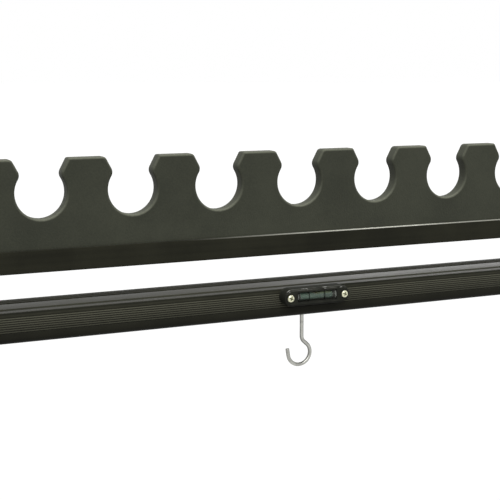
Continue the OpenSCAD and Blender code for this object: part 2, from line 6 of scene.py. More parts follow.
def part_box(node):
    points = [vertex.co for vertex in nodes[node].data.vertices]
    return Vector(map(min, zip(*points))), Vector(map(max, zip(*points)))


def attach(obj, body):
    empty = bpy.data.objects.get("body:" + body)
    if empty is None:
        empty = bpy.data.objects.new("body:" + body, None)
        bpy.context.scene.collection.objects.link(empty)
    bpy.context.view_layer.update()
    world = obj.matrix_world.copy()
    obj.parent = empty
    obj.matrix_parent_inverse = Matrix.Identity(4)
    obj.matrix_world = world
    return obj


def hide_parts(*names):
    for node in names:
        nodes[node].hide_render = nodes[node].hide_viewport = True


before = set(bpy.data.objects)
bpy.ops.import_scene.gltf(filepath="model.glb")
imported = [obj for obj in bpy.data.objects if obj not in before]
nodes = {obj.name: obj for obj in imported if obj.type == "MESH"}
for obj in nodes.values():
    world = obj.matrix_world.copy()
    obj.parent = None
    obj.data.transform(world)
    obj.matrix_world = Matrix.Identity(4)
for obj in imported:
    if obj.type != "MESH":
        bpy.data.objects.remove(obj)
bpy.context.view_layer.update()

mm = 0.001  # sizes in the dictionaries are millimetres, Blender's are metres
sides = ("left", "right")
legs = [f"{depth}_{side}" for depth in ("front", "back") for side in sides]


# The two corners of a box
def inMillimetres(box):
    return (np.array(corner) / mm for corner in box)


# Shader expressions

# A colour as the eye reads it, from 0 to 255, made linear
def tone(red, green, blue):
    parts = np.array([red, green, blue]) / 255
    linear = np.where(parts <= 0.04045, parts / 12.92, ((parts + 0.055) / 1.055) ** 2.4)
    return (*linear.tolist(), 1.0)


class Wire:
    # One socket of a material; an operator on it adds a Math node
    def __init__(self, finish, socket):
        self.finish = finish
        self.socket = socket

    def maths(self, operation, first, second=0.0, clamp=False):
        return self.finish.maths(operation, first, second, clamp)

    def __add__(self, other):
        return self.maths("ADD", self, other)

    def __sub__(self, other):
        return self.maths("SUBTRACT", self, other)

    def __rsub__(self, other):
        return self.maths("SUBTRACT", other, self)

    def __mul__(self, other):
        return self.maths("MULTIPLY", self, other)

    __radd__ = __add__

    def clamped(self):
        return self.maths("ADD", self, 0.0, clamp=True)


class Finish:
    # A material being built up from nodes
    def __init__(self, name):
        self.material = bpy.data.materials.new(name)
        self.material.use_nodes = True
        self.tree = self.material.node_tree
        self.tree.nodes.clear()

    # Adds a node: its settings are set first, then its sockets get values or links
    def node(self, kind, settings=None, sockets=None, output=0):
        made = self.tree.nodes.new(kind)
        for name, value in (settings or {}).items():
            setattr(made, name, value)
        for name, value in (sockets or {}).items():
            if isinstance(value, Wire):
                self.tree.links.new(value.socket, made.inputs[name])
            else:
                made.inputs[name].default_value = value
        return Wire(self, made.outputs[output]) if len(made.outputs) else None

    def maths(self, operation, first, second=0.0, clamp=False):
        settings = {"operation": operation, "use_clamp": clamp}
        return self.node("ShaderNodeMath", settings, {0: first, 1: second})

    # Object coordinates, stretched per axis
    def place(self, scale=(1, 1, 1)):
        where = self.node("ShaderNodeTexCoord", output="Object")
        return self.node("ShaderNodeMapping", {}, {"Vector": where, "Scale": scale})

    # The Object coordinates along some of the axes
    def along(self, axes):
        split = {"Vector": self.place()}
        return [self.node("ShaderNodeSeparateXYZ", {}, split, output=axis) for axis in axes]

    def noise(self, place, scale, detail=2.0, rough=0.5):
        sockets = {"Vector": place, "Scale": scale, "Detail": detail, "Roughness": rough}
        return self.node("ShaderNodeTexNoise", {}, sockets)

    # A smooth rise from 0 where the value is low to 1 where it is high
    def step(self, value, low, high):
        sockets = {"Value": value, "From Min": low, "From Max": high}
        return self.node("ShaderNodeMapRange", {"interpolation_type": "SMOOTHSTEP"}, sockets)

    def mix(self, factor, first, second, blend="MIX"):
        settings = {"data_type": "RGBA", "blend_type": blend}
        return self.node("ShaderNodeMix", settings, {0: factor, 6: first, 7: second}, output=2)

    def attribute(self, name):
        return self.node("ShaderNodeAttribute", {"attribute_name": name}, output="Fac")

    # The shader itself; height from 0 to 1 is read as relief, depth is its size
    def surface(self, sockets, height=None, depth=0.1):
        if height is not None:
            bump = {"Height": height, "Distance": depth * mm, "Strength": 1.0}
            sockets = {**sockets, "Normal": self.node("ShaderNodeBump", {}, bump)}
        shader = self.node("ShaderNodeBsdfPrincipled", {}, sockets)
        self.node("ShaderNodeOutputMaterial", {}, {"Surface": shader})
        return self.material


# Finishes

# edge is the paler colour of rim wear and painted light, and shade the colour of painted shade
foamLook = {
    "pale": (63, 65, 54), "dark": (49, 51, 42), "edge": (112, 114, 100), "shade": (26, 27, 21),
    "cells": 900, "mottle": 14, "rough": 0.76, "specular": 0.2, "sheen": 0.06, "relief": 0.09,
}


# Closed-cell foam: pale and dark mottling and fine open cells. The comb's edge attribute is over 0
# where the foam is paler, for wear on its rims and painted light on the edges and faces that look up,
# and under 0 on the cut faces that look down, which get painted shade.
def foamFinish():
    look = foamLook
    made = Finish("foam")
    place = made.place()
    mottle = made.noise(place, look["mottle"], 4.0, 0.6)
    grain = made.noise(place, look["cells"], 2.0, 0.6)
    cell = made.node("ShaderNodeTexVoronoi", {"feature": "F1"}, {"Vector": place, "Scale": look["cells"]})
    shade = made.step(mottle * 0.7 + grain * 0.3, 0.32, 0.68)
    base = made.mix(shade, tone(*look["dark"]), tone(*look["pale"]))
    wornAndLit = made.attribute("edge")
    # rim wear, and painted light where the foam looks up, in the paler edge colour
    base = made.mix((wornAndLit * (0.5 + grain)).clamped(), base, tone(*look["edge"]))
    # painted shade in the shade colour where the cut faces look down
    base = made.mix((wornAndLit * -1).clamped(), base, tone(*look["shade"]))
    sockets = {
        "Base Color": base, "Roughness": look["rough"] + grain * 0.2,
        "Specular IOR Level": look["specular"],
        "Sheen Weight": look["sheen"], "Sheen Roughness": 0.5,
    }
    return made.surface(sockets, cell * 0.6 + grain * 0.4, look["relief"])


anodisedLook = {
    "deep": (42, 42, 34), "pale": (56, 56, 46), "specular": 0.06, "rough": 0.3, "bar": (2, 260, 260),
    "rubbedAndLit": 22, "dust": 1400, "dusty": (74, 74, 66), "relief": 0.01,
}
railLook = {**anodisedLook, "deep": (30, 30, 23), "pale": (41, 41, 32)}
# A painted highlight on the rail's upper edges, over their top high mm. It grows between the two x of
# "grows" and lessens again between those of "fades".
railHighlightLook = {
    "node": "comb_rail", "high": 0.7, "blur": 0.15, "grows": (-95, 65), "fades": (85, 140), "loss": 0.45,
    "highlightTone": (206, 206, 194),
}
tubeLook = {**anodisedLook, "bar": (160, 160, 160)}
# The ribs: the first groove's drop below the beam's top, their pitch and number, and their two colours,
# painted light on the crests and painted shade in the grooves. fade is the painted shade that darkens the
# beam's faces towards their lower edge, and strip and lip are the shares of it on the rounded upper edge
# and on the narrow lip above it, which dull roughens too.
ribLook = {
    "first": 3.0, "pitch": 1.44, "count": 8, "crest": (90, 90, 77), "valley": (34, 34, 28),
    "fade": (150, 150, 150), "strip": 0.7, "lip": 0.3, "dull": 0.3,
}
# Where those zones start and end: face and lipOut from the beam's front or back, the others from its top
ribZone = {
    "face": (1.2, 0.8), "stripTop": (0.1, 0.4), "stripLow": (1.5, 0.9), "lipLow": (0.9, 0.4),
    "lipOut": (8, 6), "down": 2,
}


# How far a point is up a rib, as (1 - cos 2 pi t) / 2 with t in pitches from the first groove, 1 in the
# ribs' zone on the beam's two faces, how much painted shade the edge above it gets, and the share of the
# way down
def ribShading(made, ribs):
    low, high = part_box("main_beam")
    y, z = made.along("YZ")
    first = high[2] - ribs["first"] * mm
    steps = (first - z) * (1 / (ribs["pitch"] * mm))
    crest = 0.5 - made.maths("COSINE", steps * (2 * np.pi)) * 0.5
    inside = made.step(steps, -0.2, 0.0) * made.step(ribs["count"] - 0.8 - steps, 0.0, 0.2)
    out = made.maths("ABSOLUTE", y)

    def zone(value, limit, name):
        return made.step(value, *(limit - share * mm for share in ribZone[name]))

    face = zone(out, high[1], "face")
    strip = zone(z, high[2], "stripTop") * zone(z, high[2], "stripLow")
    lip = zone(z, high[2], "lipLow") * zone(out, high[1], "lipOut")
    down = made.step(z, high[2] - ribZone["down"] * mm, low[2])
    return crest, inside * face, strip * face * ribs["strip"] + lip * ribs["lip"], down


# 1 on a bar's upper edges where a highlight is painted
def edgeHighlight(made, rubAndHighlight):
    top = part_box(rubAndHighlight["node"])[1][2]
    x, z = made.along("XZ")
    low, full = (top - (rubAndHighlight["high"] + blur) * mm for blur in (rubAndHighlight["blur"], -rubAndHighlight["blur"]))
    high = made.step(z, low, full)
    grows, fades = (made.step(x, start * mm, end * mm) for start, end in (rubAndHighlight["grows"], rubAndHighlight["fades"]))
    return high * grows * (1 - fades * rubAndHighlight["loss"])


# Black anodised aluminium: fine lines that the die left along the bar, dull and rubbed patches
def anodisedFinish(name, look, ribs=None, rubAndHighlight=None):
    made = Finish(name)
    stretch = look["bar"]
    lines = made.noise(made.place(stretch), 1.0, 3.0, 0.6)
    rubbedAndLit = made.noise(made.place(), look["rubbedAndLit"], 4.0, 0.6)
    dust = made.noise(made.place(), look["dust"], 1.0)
    speck = made.step(dust, 0.68, 0.82) * 0.3
    shade = made.step(lines * 0.3 + rubbedAndLit * 0.7, 0.3, 0.7)
    base = made.mix(shade, tone(*look["deep"]), tone(*look["pale"]))
    base = made.mix(speck, base, tone(*look["dusty"]))
    if ribs:
        crest, zone, strip, down = ribShading(made, ribs)
        # painted light on the rib crests and painted shade in their grooves
        wornAndLit = made.mix(crest, tone(*ribs["valley"]), tone(*ribs["crest"]))
        base = made.mix(zone * (0.55 + rubbedAndLit * 0.7).clamped(), base, wornAndLit)
        # painted shade towards the faces' lower edge and on the strip under the lip
        dim = made.mix((down + strip).clamped(), (1, 1, 1, 1), tone(*ribs["fade"]))
        base = made.mix(1.0, base, dim, "MULTIPLY")
    rough = look["rough"] + rubbedAndLit * 0.14 + lines * 0.05
    sockets = {"Specular IOR Level": look["specular"]}
    if ribs:
        rough = rough + strip * ribs["dull"]
    # a painted highlight on the rail's upper edges, partly metallic
    if rubAndHighlight:
        highlight = edgeHighlight(made, rubAndHighlight) * (0.75 + speck)
        base = made.mix(highlight, base, tone(*rubAndHighlight["highlightTone"]))
        sockets["Metallic"] = highlight * 0.4
    sockets["Base Color"] = base
    sockets["Roughness"] = rough
    return made.surface(sockets, lines, look["relief"])


metalLook = {"pale": (212, 212, 208), "dull": (168, 168, 162), "drawn": (900, 900, 12), "relief": 0.02}


# Bare aluminium tube, drawn and lightly scratched along its length
def bareAluminiumFinish():
    made = Finish("bare_aluminium")
    drawn = made.noise(made.place(metalLook["drawn"]), 1.0, 3.0, 0.6)
    cloud = made.noise(made.place(), 30, 4.0, 0.6)
    base = made.mix(made.step(cloud, 0.3, 0.7), tone(*metalLook["dull"]), tone(*metalLook["pale"]))
    sockets = {"Base Color": base, "Metallic": 1.0, "Roughness": 0.26 + drawn * 0.16 + cloud * 0.06}
    return made.surface(sockets, drawn, metalLook["relief"])


steelLook = {
    "bright": (176, 176, 170), "dull": (44, 44, 41), "zinc": (214, 214, 186), "shade": (66, 66, 42),
    "film": 0.22, "cloud": 240, "grain": 2600, "relief": 0.01,
}


# Plated steel: bright, with a soft cloudy film, and dark where a piece's edge attribute is 1. That
# attribute is painted shade: the streaks down the hook wire's sides and the screws' cross recesses.
def steelFinish(name, bright, dull, rough):
    made = Finish(name)
    film = made.noise(made.place(), steelLook["cloud"], 4.0, 0.6)
    fine = made.noise(made.place(), steelLook["grain"], 2.0)
    dark = made.attribute("edge") + made.step(film, 0.4, 0.7) * steelLook["film"]
    base = made.mix(dark.clamped(), tone(*bright), tone(*dull))
    sockets = {"Base Color": base, "Metallic": 1.0, "Roughness": rough + film * 0.12}
    return made.surface(sockets, fine, steelLook["relief"])


glossLook = {"deep": (42, 43, 38), "film": (52, 53, 47), "flow": 120, "specular": 0.0006, "relief": 0.05}


# Moulded gloss plastic with faint flow marks and hairline scratches
def glossPlasticFinish():
    made = Finish("gloss_black_plastic")
    flow = made.noise(made.place(), glossLook["flow"], 3.0)
    scratch = made.noise(made.place((300, 2500, 2500)), 1.0, 2.0)
    base = made.mix(made.step(flow, 0.4, 0.8), tone(*glossLook["deep"]), tone(*glossLook["film"]))
    sockets = {
        "Base Color": base, "Roughness": 0.3 + flow * 0.16, "Specular IOR Level": glossLook["specular"],
    }
    return made.surface(sockets, flow * 0.6 + scratch * 0.4, glossLook["relief"])


# near is how far from the left end the glints stop being many
glossEdgeLook = {
    "plain": (34, 34, 32), "line": (84, 84, 79), "glint": (170, 170, 165), "near": (2, 9), "many": 0.14,
}


# The housing's edges: the upper ones get a painted highlight, a thin pale line and glints, most of them at
# the left end
def glossEdgeFinish():
    made = Finish("gloss_edge")
    look = glossEdgeLook
    low, high = (corner[2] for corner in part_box("level_housing"))
    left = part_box("level_housing")[0][0]
    x, z = made.along("XZ")
    upper = made.step(z, low * 0.3 + high * 0.7, high)
    near = 1 - made.step(x, *(left + end * mm for end in look["near"]))
    line = made.noise(made.place((140, 500, 500)), 1.0, 3.0, 0.6)
    glint = made.noise(made.place((260, 500, 500)), 1.0, 2.0, 0.5) + near * look["many"]
    glint = made.step(glint, 0.6, 0.68)
    # painted highlights: a broken pale line and glints on the upper edges
    base = made.mix(upper * made.step(line, 0.35, 0.65), tone(*look["plain"]), tone(*look["line"]))
    base = made.mix(upper * glint, base, tone(*look["glint"]))
    return made.surface({"Base Color": base, "Roughness": 0.3 - line * 0.1, "Specular IOR Level": 0.02})


nylonLook = {
    "deep": (28, 28, 28), "pale": (38, 38, 37), "grain": 1500, "cloud": 45, "relief": 0.09,
    "edge": (40, 40, 39), "rubbedAndLit": (66, 66, 63),
}


# Glass-filled nylon with a fine spark-eroded grain
def nylonFinish():
    made = Finish("black_nylon")
    grain = made.noise(made.place(), nylonLook["grain"], 2.0, 0.7)
    cloud = made.noise(made.place(), nylonLook["cloud"], 4.0, 0.6)
    shade = made.step(cloud * 0.6 + grain * 0.4, 0.35, 0.65)
    base = made.mix(shade, tone(*nylonLook["deep"]), tone(*nylonLook["pale"]))
    sockets = {"Base Color": base, "Roughness": 0.45 + grain * 0.2, "Specular IOR Level": 0.45}
    return made.surface(sockets, grain, nylonLook["relief"])


# Edge of a moulding, polished pale by handling
def nylonEdgeFinish():
    made = Finish("nylon_edge")
    rubAndHighlight = made.step(made.noise(made.place(), 90, 4.0, 0.7), 0.3, 0.75)
    base = made.mix(rubAndHighlight, tone(*nylonLook["edge"]), tone(*nylonLook["rubbedAndLit"]))
    return made.surface({"Base Color": base, "Roughness": 0.5 - rubAndHighlight * 0.12})


rubberLook = {"deep": (32, 32, 31), "dusty": (64, 62, 57), "grain": 1100, "dust": 35, "relief": 0.1}


# Rubber with dust held in its grain
def rubberFinish():
    made = Finish("foot_rubber")
    grain = made.noise(made.place(), rubberLook["grain"], 3.0, 0.7)
    dust = made.noise(made.place(), rubberLook["dust"], 5.0, 0.7)
    shade = made.step(dust * 0.7 + grain * 0.3, 0.42, 0.72)
    base = made.mix(shade, tone(*rubberLook["deep"]), tone(*rubberLook["dusty"]))
    sockets = {"Base Color": base, "Roughness": 0.74 + grain * 0.2, "Specular IOR Level": 0.35}
    return made.surface(sockets, grain, rubberLook["relief"])


inkLook = {"deep": (6, 8, 7), "thin": (24, 27, 24)}


# Printed black ink, thin in places
def inkFinish():
    made = Finish("black_ink")
    thin = made.noise(made.place(), 900, 2.0)
    base = made.mix(thin, tone(*inkLook["deep"]), tone(*inkLook["thin"]))
    return made.surface({"Base Color": base, "Roughness": 0.6, "Specular IOR Level": 0.02})


# clear and frosted are how much is seen of the wall itself, and end is how long the frosted band is
vialLook = {
    "clear": 0.05, "frosted": 0.3, "end": 0.7, "blur": 0.2, "length": 30, "middle": 0.5,
    "deep": (196, 204, 192), "pale": (232, 236, 226),
}


# Clear acrylic of the vial, frosted on a short band at each end
def vialFinish():
    look = vialLook
    made = Finish("vial_glass")
    haze = made.noise(made.place(), 160, 3.0)
    x = made.along("X")[0]
    out = made.maths("ABSOLUTE", x - look["middle"] * mm)
    limit = (look["length"] / 2 - look["end"]) * mm
    frosted = made.step(out, limit, limit + look["blur"] * mm)
    sockets = {
        "Base Color": made.mix(haze, tone(*look["deep"]), tone(*look["pale"])),
        "Roughness": 0.04 + haze * 0.06 + frosted * 0.4,
        "Alpha": look["clear"] + frosted * (look["frosted"] - look["clear"]),
    }
    return made.surface(sockets)


# glow is a painted highlight on the top of the liquid, from the first x to the second, and high is where it
# starts and is full above the vial's middle
liquidLook = {
    "deep": (36, 64, 52), "pale": (52, 82, 66), "glow": (112, 126, 84), "from": -2, "to": 10, "blur": 4,
    "high": (0.7, 2.2),
}


# Green liquid, a little cloudy, with a painted highlight along its top
def liquidFinish():
    made = Finish("green_liquid")
    look = liquidLook
    middle = (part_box("level_liquid")[0][2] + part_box("level_liquid")[1][2]) / 2
    cloud = made.noise(made.place((0.3, 1, 1)), 160, 2.0)
    x, z = made.along("XZ")
    start, end = (made.step(x, at * mm, (at + look["blur"]) * mm) for at in (look["from"], look["to"]))
    # painted highlight along the top of the liquid
    glow = made.step(z, *(middle + high * mm for high in look["high"])) * start * (1 - end)
    base = made.mix(made.step(cloud, 0.35, 0.65), tone(*look["deep"]), tone(*look["pale"]))
    sockets = {
        "Base Color": made.mix(glow * 0.8, base, tone(*look["glow"])),
        "Roughness": 0.12 + cloud * 0.08, "Specular IOR Level": 0.2, "Transmission Weight": 0.1,
    }
    return made.surface(sockets)


bubbleLook = {"deep": (24, 28, 12), "shine": (74, 84, 40)}


# Air under the top of the vial, as a painted reflection: dark where it would mirror the housing, with a
# painted yellow-green shine
def bubbleFinish():
    made = Finish("bubble_air")
    film = made.noise(made.place(), 260, 2.0)
    base = made.mix(made.step(film, 0.4, 0.6), tone(*bubbleLook["deep"]), tone(*bubbleLook["shine"]))
    sockets = {"Base Color": base, "Roughness": 0.12 + film * 0.08, "Specular IOR Level": 0.2}
    return made.surface(sockets)


foam = foamFinish()
beamMetal = anodisedFinish("black_aluminium", anodisedLook, ribLook)
railMetal = anodisedFinish("black_aluminium_rail", railLook, rubAndHighlight=railHighlightLook)
tubeMetal = anodisedFinish("black_aluminium_tube", tubeLook)
bareMetal = bareAluminiumFinish()
steel = steelFinish("bright_steel", steelLook["bright"], steelLook["dull"], 0.2)
zinc = steelFinish("zinc_steel", steelLook["zinc"], steelLook["shade"], 0.22)
gloss = glossPlasticFinish()
glossEdge = glossEdgeFinish()
nylon = nylonFinish()
nylonEdge = nylonEdgeFinish()
rubber = rubberFinish()
ink = inkFinish()
vialGlass = vialFinish()
liquid = liquidFinish()
bubbleAir = bubbleFinish()
print("finishes made")


# Meshes from arrays

# A grid of points, rows by columns by 3, as quads. Each row closes on itself, and a cap closes the first
# row and the last.
def gridShell(points):
    rows, columns = points.shape[:2]
    here = np.arange(rows * columns).reshape(rows, columns)
    right = np.roll(here, -1, axis=1)
    quads = np.stack([here[:-1], right[:-1], right[1:], here[1:]], axis=-1).reshape(-1, 4).tolist()
    caps = [here[0][::-1].tolist(), here[-1].tolist()]
    return points.reshape(-1, 3), quads + caps


# Joins shells into one mesh object in metres. Each shell is (points in mm, faces) or (points, faces, edge).
def piece(name, shells, finish, body, stands=()):
    points, faces, edges, start = [], [], [], 0
    for shell in shells:
        points.append(shell[0])
        faces += [[start + i for i in face] for face in shell[1]]
        edges.append(shell[2].ravel() if len(shell) > 2 else np.zeros(len(shell[0])))
        start += len(shell[0])
    mesh = bpy.data.meshes.new(name)
    mesh.from_pydata(np.vstack(points) * mm, [], faces)
    mesh.attributes.new("edge", "FLOAT", "POINT").data.foreach_set("value", np.concatenate(edges))
    mesh.polygons.foreach_set("use_smooth", np.ones(len(faces), bool))
    mesh.materials.append(finish)
    mesh.update()
    made = bpy.data.objects.new(name, mesh)
    bpy.context.scene.collection.objects.link(made)
    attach(made, body)
    if stands:
        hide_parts(*stands)
    return made


# Points of an arc in a plane, angles in degrees
def arc(centre, radius, start, end, count):
    turn = np.radians(np.linspace(start, end, count))
    return np.stack([centre[0] + radius * np.cos(turn), centre[1] + radius * np.sin(turn)], axis=-1)


# The outward normal at each point of a closed outline that runs anticlockwise
def outward(outline):
    along = np.roll(outline, -1, axis=0) - np.roll(outline, 1, axis=0)
    along /= np.linalg.norm(along, axis=1, keepdims=True)
    return np.stack([along[:, 1], -along[:, 0]], axis=-1)


# A plate with rounded edges: the outline is drawn in by r(1 - sin a) while the depth grows by
# r(1 - cos a), for a from 0 at the face to 90 degrees at the side, and the same at the other face. The
# edge value is painted light and shade by the side's slope, up as more than 0 and down as less, plus
# sin 2a on the rounded edges for wear, with painted light added on the edges that look up.
def plateShell(outline, front, back, radius, steps=6, rim=0.12):
    turn = np.linspace(0, np.pi / 2, steps + 1)
    inset = radius * (1 - np.sin(turn))
    depth = radius * (1 - np.cos(turn))
    inset = np.concatenate([[radius + rim], inset, inset[::-1], [radius + rim]])
    depth = np.concatenate([[front], front + depth, back - depth[::-1], [back]])
    normal = outward(outline)
    flat = outline[None] - normal[None] * inset[:, None, None]
    depth = np.broadcast_to(depth[:, None], flat.shape[:2])
    points = np.stack([flat[..., 0], depth, flat[..., 1]], axis=-1)
    turn = np.concatenate([[0], turn, turn[::-1], [0]])[:, None]
    slope = normal[:, 1]
    wearAndLight = np.sin(2 * turn) * (0.1 + 0.45 * np.clip(slope, 0, 1))
    edge = wearAndLight + 0.45 * slope * np.sin(turn) ** 2
    return (*gridShell(points[::-1]), edge[::-1])


# Foam comb

# edge rounds the faces' rims, inner and outer the teeth's corners towards and away from the comb's middle
comb = {
    "count": 11, "pitch": 61.5, "seat": 17, "mouth": 37, "slope": 28, "nose": 5.3, "rise": 21.9,
    "edge": 1.6, "inner": 3.2, "outer": 1.8, "end": 3.0,
}


# One notch as a path from its left tooth to its right one, about the seat's centre. The nose circle
# touches the seat's circle on the line of their centres and the mouth's side square to it. corners has
# the radii of the two teeth's corners beside it.
def notchPath(sizes, corners):
    slope = np.radians(sizes["slope"])
    side = np.array([np.sin(slope), np.cos(slope)])
    out = np.array([np.cos(slope), -np.sin(slope)])
    top = np.array([sizes["mouth"] / 2, sizes["rise"]])
    start = top + sizes["nose"] * out
    dot = start @ side
    run = -dot + np.sqrt(dot**2 - start @ start + (sizes["seat"] + sizes["nose"]) ** 2)
    nose = start + run * side
    touch = np.degrees(np.arctan2(nose[1], nose[0]))
    bend = arc(nose, sizes["nose"], 180 + touch, 180 - sizes["slope"], 14)
    # a tooth's corner: an arc between its level top and the mouth's side
    turn = 90 - sizes["slope"]
    halves = []
    for radius in corners:
        middle = top + np.array([radius * np.tan(np.radians(turn) / 2), -radius])
        halves.append(np.vstack([bend, arc(middle, radius, 90 + turn, 90, 8)]))
    seat = arc((0, 0), sizes["seat"], 180 - touch, 360 + touch, 48)[1:-1]
    return np.vstack([halves[0][::-1] * [-1, 1], seat, halves[1]])


def foamComb():
    low, high = inMillimetres(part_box("foam_comb"))
    places = (np.arange(comb["count"]) - (comb["count"] - 1) / 2) * comb["pitch"]
    middle = high[2] - comb["rise"]
    top = []
    for place in places:
        leftTooth, rightTooth = place - comb["pitch"] / 2, place + comb["pitch"] / 2
        corners = (
            comb["inner"] if leftTooth < 0 else comb["outer"],
            comb["outer"] if rightTooth < 0 else comb["inner"],
        )
        top.append(notchPath(comb, corners) + [place, middle])
    top = np.vstack(top)
    end = comb["end"]
    right = arc((high[0] - end, high[2] - end), end, 90, 0, 8)
    left = arc((low[0] + end, high[2] - end), end, 180, 90, 8)
    outline = np.vstack([left, top, right, [[high[0], low[2]], [low[0], low[2]]]])[::-1]
    shell = plateShell(outline, low[1], high[1], comb["edge"])
    made = piece("foam_comb_soft", [shell], foam, "root", ["foam_comb"])


foamComb()
print("comb made")


# Round pieces: grids of a profile by an angle

# A round surface about an axis: point = at + r (u cos a + v sin a) + t w, where u x v = w. The profile's
# rows (r, t) run from the low end's middle outwards and up to the high end's middle. The radius is
# multiplied by swell, and lift is added to t, each a grid of rows by columns or a number.
def turned(profile, at, axes, columns=48, swell=1.0, lift=0.0):
    turn = np.linspace(0, 2 * np.pi, columns, endpoint=False)
    radius = profile[:, :1] * np.ones(columns) * swell
    along = profile[:, 1:] + np.zeros(columns) + lift
    u, v, w = (np.array(axis, float) for axis in axes)
    ring = np.cos(turn)[:, None] * u + np.sin(turn)[:, None] * v
    return gridShell(np.array(at) + radius[..., None] * ring + along[..., None] * w)


frontAxes = ((1, 0, 0), (0, 0, 1), (0, -1, 0))
downAxes = ((0, 1, 0), (1, 0, 0), (0, 0, -1))
outAxes = {"left": ((0, 0, 1), (0, 1, 0), (-1, 0, 0)), "right": ((0, 1, 0), (0, 0, 1), (1, 0, 0))}


# 0 below a half width of blur under the limit, 1 above it, and a smooth rise between
def soft(value, blur):
    share = np.clip(value / blur + 0.5, 0, 1)
    return share * share * (3 - 2 * share)


screw = {
    "edge": 0.9, "crown": 0.35, "slot": 0.62, "reach": 1.55, "deep": 1.1, "blur": 0.22, "turn": 0.35,
    "recessShade": 0.8,
}


# A pan-head screw, its head's seat at t = 0. The crown falls as the square of the radius. The cross is
# sunk where the smaller of |x|, |y| is under half its slot and the larger under its reach, and it gets
# painted shade, as dark as recessShade.
def screwShell(at, axes, head, high, shank, length, scale=1.0):
    edge = screw["edge"] * scale
    flat = high - screw["crown"] * scale
    side = arc((head - edge, flat - edge), edge, 0, 90, 8)
    across = np.linspace(side[-1, 0], 0.01, 26)[1:]
    rise = screw["crown"] * scale * (1 - (across / side[-1, 0]) ** 2)
    low = [[0.01, -length], [shank - 0.3, -length], [shank, 0.3 - length], [shank, 0]]
    low += [[head - 0.15, 0], [head, 0.15]]
    profile = np.vstack([low, side, np.stack([across, flat + rise], axis=-1)])
    turn = np.linspace(0, 2 * np.pi, 72, endpoint=False) + screw["turn"]
    x, y = (np.abs(profile[:, :1] * wave(turn)) for wave in (np.cos, np.sin))
    narrow = soft(screw["slot"] * scale / 2 - np.minimum(x, y), screw["blur"] * scale)
    short = soft(screw["reach"] * scale - np.maximum(x, y), screw["blur"] * scale)
    onTop = (np.arange(len(profile)) > len(low) + 4)[:, None]
    sunk = screw["deep"] * scale * (1 - 0.6 * np.maximum(x, y) / screw["reach"] / scale)
    cross = narrow * short * onTop
    # painted shade in the cross's recess, carried in the edge attribute
    return (*turned(profile, at, axes, 72, lift=-sunk * cross), cross * screw["recessShade"])


levelScrew = {"gap": 41.8, "head": 2.5, "high": 1.8, "shank": 1.25}


def levelScrews():
    low, high = inMillimetres(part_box("level_screws"))
    middle = (low + high) / 2
    front = low[1] + levelScrew["high"]
    size = (levelScrew["head"], levelScrew["high"], levelScrew["shank"], high[1] - front)
    shells = []
    for side in (-1, 1):
        at = (middle[0] + side * levelScrew["gap"] / 2, front, middle[2])
        shells.append(screwShell(at, frontAxes, *size))
    piece("level_screws_cross", shells, zinc, "root", ["level_screws"])


bracketScrew = {"across": 9, "head": 4.2, "high": 2.6, "shank": 2.5}
railScrew = {"head": 3.4, "high": 2.0, "shank": 2.0}


# The screws that go up into the brackets, their heads below
def bracketScrews():
    low, high = inMillimetres(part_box("bracket_screws"))
    seat = low[2] + bracketScrew["high"]
    shells = []
    for side in (-1, 1):
        for depth in (-1, 1):
            at = (side * (high[0] - bracketScrew["head"]), depth * bracketScrew["across"], seat)
            size = (bracketScrew["head"], bracketScrew["high"], bracketScrew["shank"], high[2] - seat)
            shells.append(screwShell(at, downAxes, *size, 1.5))
    piece("bracket_screws_cross", shells, steel, "root", ["bracket_screws"])
    low, high = inMillimetres(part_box("rail_screws"))
    seat = low[2] + railScrew["high"]
    size = (railScrew["head"], railScrew["high"], railScrew["shank"], high[2] - seat)
    out = high[0] - railScrew["head"]
    shells = [screwShell((side * out, 0, seat), downAxes, *size, 1.2) for side in (-1, 1)]
    piece("rail_screws_cross", shells, steel, "root", ["rail_screws"])


# Wire hook

# streak is where round the wire the painted shade lies, in degrees: dark streaks down the wire's sides.
# They are fainter over the last fadeFrom mm, and gone about the place that is rubbedAndLit mm from the
# tip, over clearLong mm either way.
hook = {
    "x": 4.4, "wire": 1.4, "thread": 1.5, "below": 3, "pitch": 0.5, "cut": 0.24, "shank": 20.5,
    "neck": 5.6, "neckTurn": 48, "straight": 3, "shoulder": 8, "loop": 8.8, "loopTurn": 173, "tip": 5,
    "streak": 272, "wander": 0.3, "wanderLong": 11, "burr": 0.35, "wornAndLit": 0.5, "fadeFrom": 33,
    "fadeLong": 14, "rubbedAndLit": 18, "clearLong": 9,
}


# The wire's middle line in the X-Z plane, from its threaded top to its tip, in points 0.06 to 0.4 mm
# apart: a straight shank, a bend out, a straight slope, a bend back, the loop, and a straight tip
def hookLine(top, beam):
    low = beam - hook["shank"]
    thread = np.arange(top, beam - hook["below"] - 0.4, -0.06)
    shank = np.linspace(thread[-1] - 0.2, low, 12)
    down = np.concatenate([thread, shank])
    neckTurn = np.radians(hook["neckTurn"])
    neck = arc((hook["neck"], low), hook["neck"], 180, 180 + hook["neckTurn"], 20)
    slope = np.array([np.sin(neckTurn), -np.cos(neckTurn)])
    straight = neck[-1] + slope * np.linspace(0, hook["straight"], 10)[:, None]
    bend = np.array([np.cos(neckTurn), np.sin(neckTurn)]) * hook["shoulder"]
    middle = straight[-1] - bend
    shoulder = arc(middle, hook["shoulder"], hook["neckTurn"], 0, 24)
    centre = middle + [hook["shoulder"] - hook["loop"], 0]
    loop = arc(centre, hook["loop"], 0, -hook["loopTurn"], 72)
    ahead = (loop[-1] - loop[-2]) / np.linalg.norm(loop[-1] - loop[-2])
    # the tip's points crowd together towards its end, where its edge is rounded
    tip = loop[-1] + ahead * (hook["tip"] * np.sin(np.linspace(0, np.pi / 2, 24)))[:, None]
    down = np.stack([0 * down, down], axis=-1)
    return np.vstack([down, neck[1:], straight[1:], shoulder[1:], loop[1:], tip[1:]])


